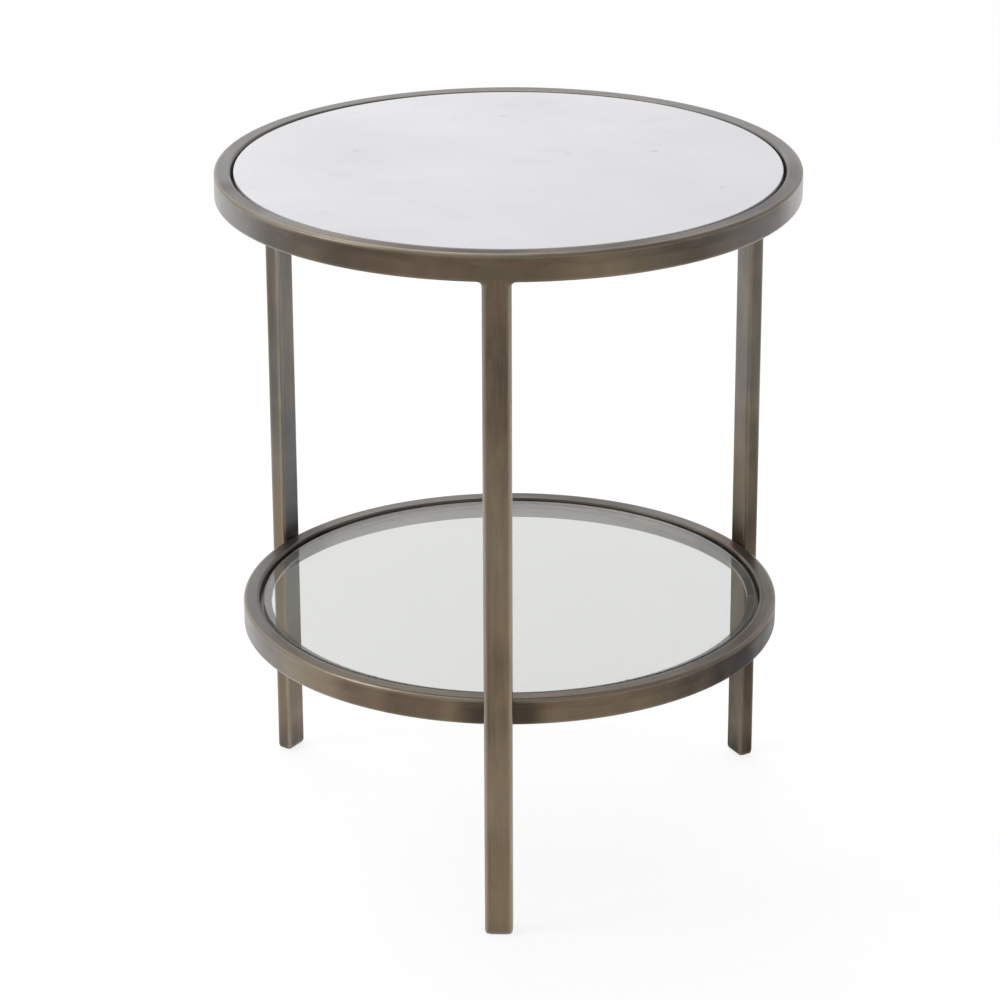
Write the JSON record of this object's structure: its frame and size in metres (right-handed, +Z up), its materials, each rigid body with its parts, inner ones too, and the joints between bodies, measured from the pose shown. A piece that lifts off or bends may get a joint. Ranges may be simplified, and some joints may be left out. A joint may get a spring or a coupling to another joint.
{
  "type": "side table",
  "caption": "Round two-tier side table: bent bronze-finished tube rings on straight legs, with a drop-in marble top and a drop-in clear glass shelf.",
  "frame": {"origin": "on the floor, under the centre of the rings", "axes": "+Z up; one leg stands towards -Y, which is the front; +X is to the right seen from the front"},
  "size_m": [0.525, 0.525, 0.635],
  "materials": {
    "frame_metal": "brushed antique bronze plating under satin lacquer",
    "marble": "polished white marble",
    "glass": "clear polished",
    "clear_pad": "clear soft bumper",
    "felt": "felt"
  },
  "bodies": {
    "frame": {"top_ring": "frame_metal", "shelf_ring": "frame_metal", "top_ledge": "frame_metal", "shelf_ledge": "frame_metal", "leg_front": "frame_metal", "foot_cap_front": "frame_metal", "top_weld_front": "frame_metal", "shelf_weld_front": "frame_metal", "glide_front": "felt", "leg_rear_right": "frame_metal", "foot_cap_rear_right": "frame_metal", "top_weld_rear_right": "frame_metal", "shelf_weld_rear_right": "frame_metal", "glide_rear_right": "felt", "leg_rear_left": "frame_metal", "foot_cap_rear_left": "frame_metal", "top_weld_rear_left": "frame_metal", "shelf_weld_rear_left": "frame_metal", "glide_rear_left": "felt", "marble_pad_1": "clear_pad", "glass_pad_1": "clear_pad", "marble_pad_2": "clear_pad", "glass_pad_2": "clear_pad", "marble_pad_3": "clear_pad", "glass_pad_3": "clear_pad", "marble_pad_4": "clear_pad", "glass_pad_4": "clear_pad", "marble_pad_5": "clear_pad", "glass_pad_5": "clear_pad", "marble_pad_6": "clear_pad", "glass_pad_6": "clear_pad"},
    "marble_disc": {"marble_top": "marble"},
    "glass_disc": {"glass_shelf": "glass"}
  },
  "joints": [
    {"name": "marble_lift", "type": "slide", "parent": "frame", "child": "marble_disc", "axis": [0, 0, 1], "range_m": [0, 0.06]},
    {"name": "glass_lift", "type": "slide", "parent": "frame", "child": "glass_disc", "axis": [0, 0, 1], "range_m": [0, 0.2]}
  ]
}
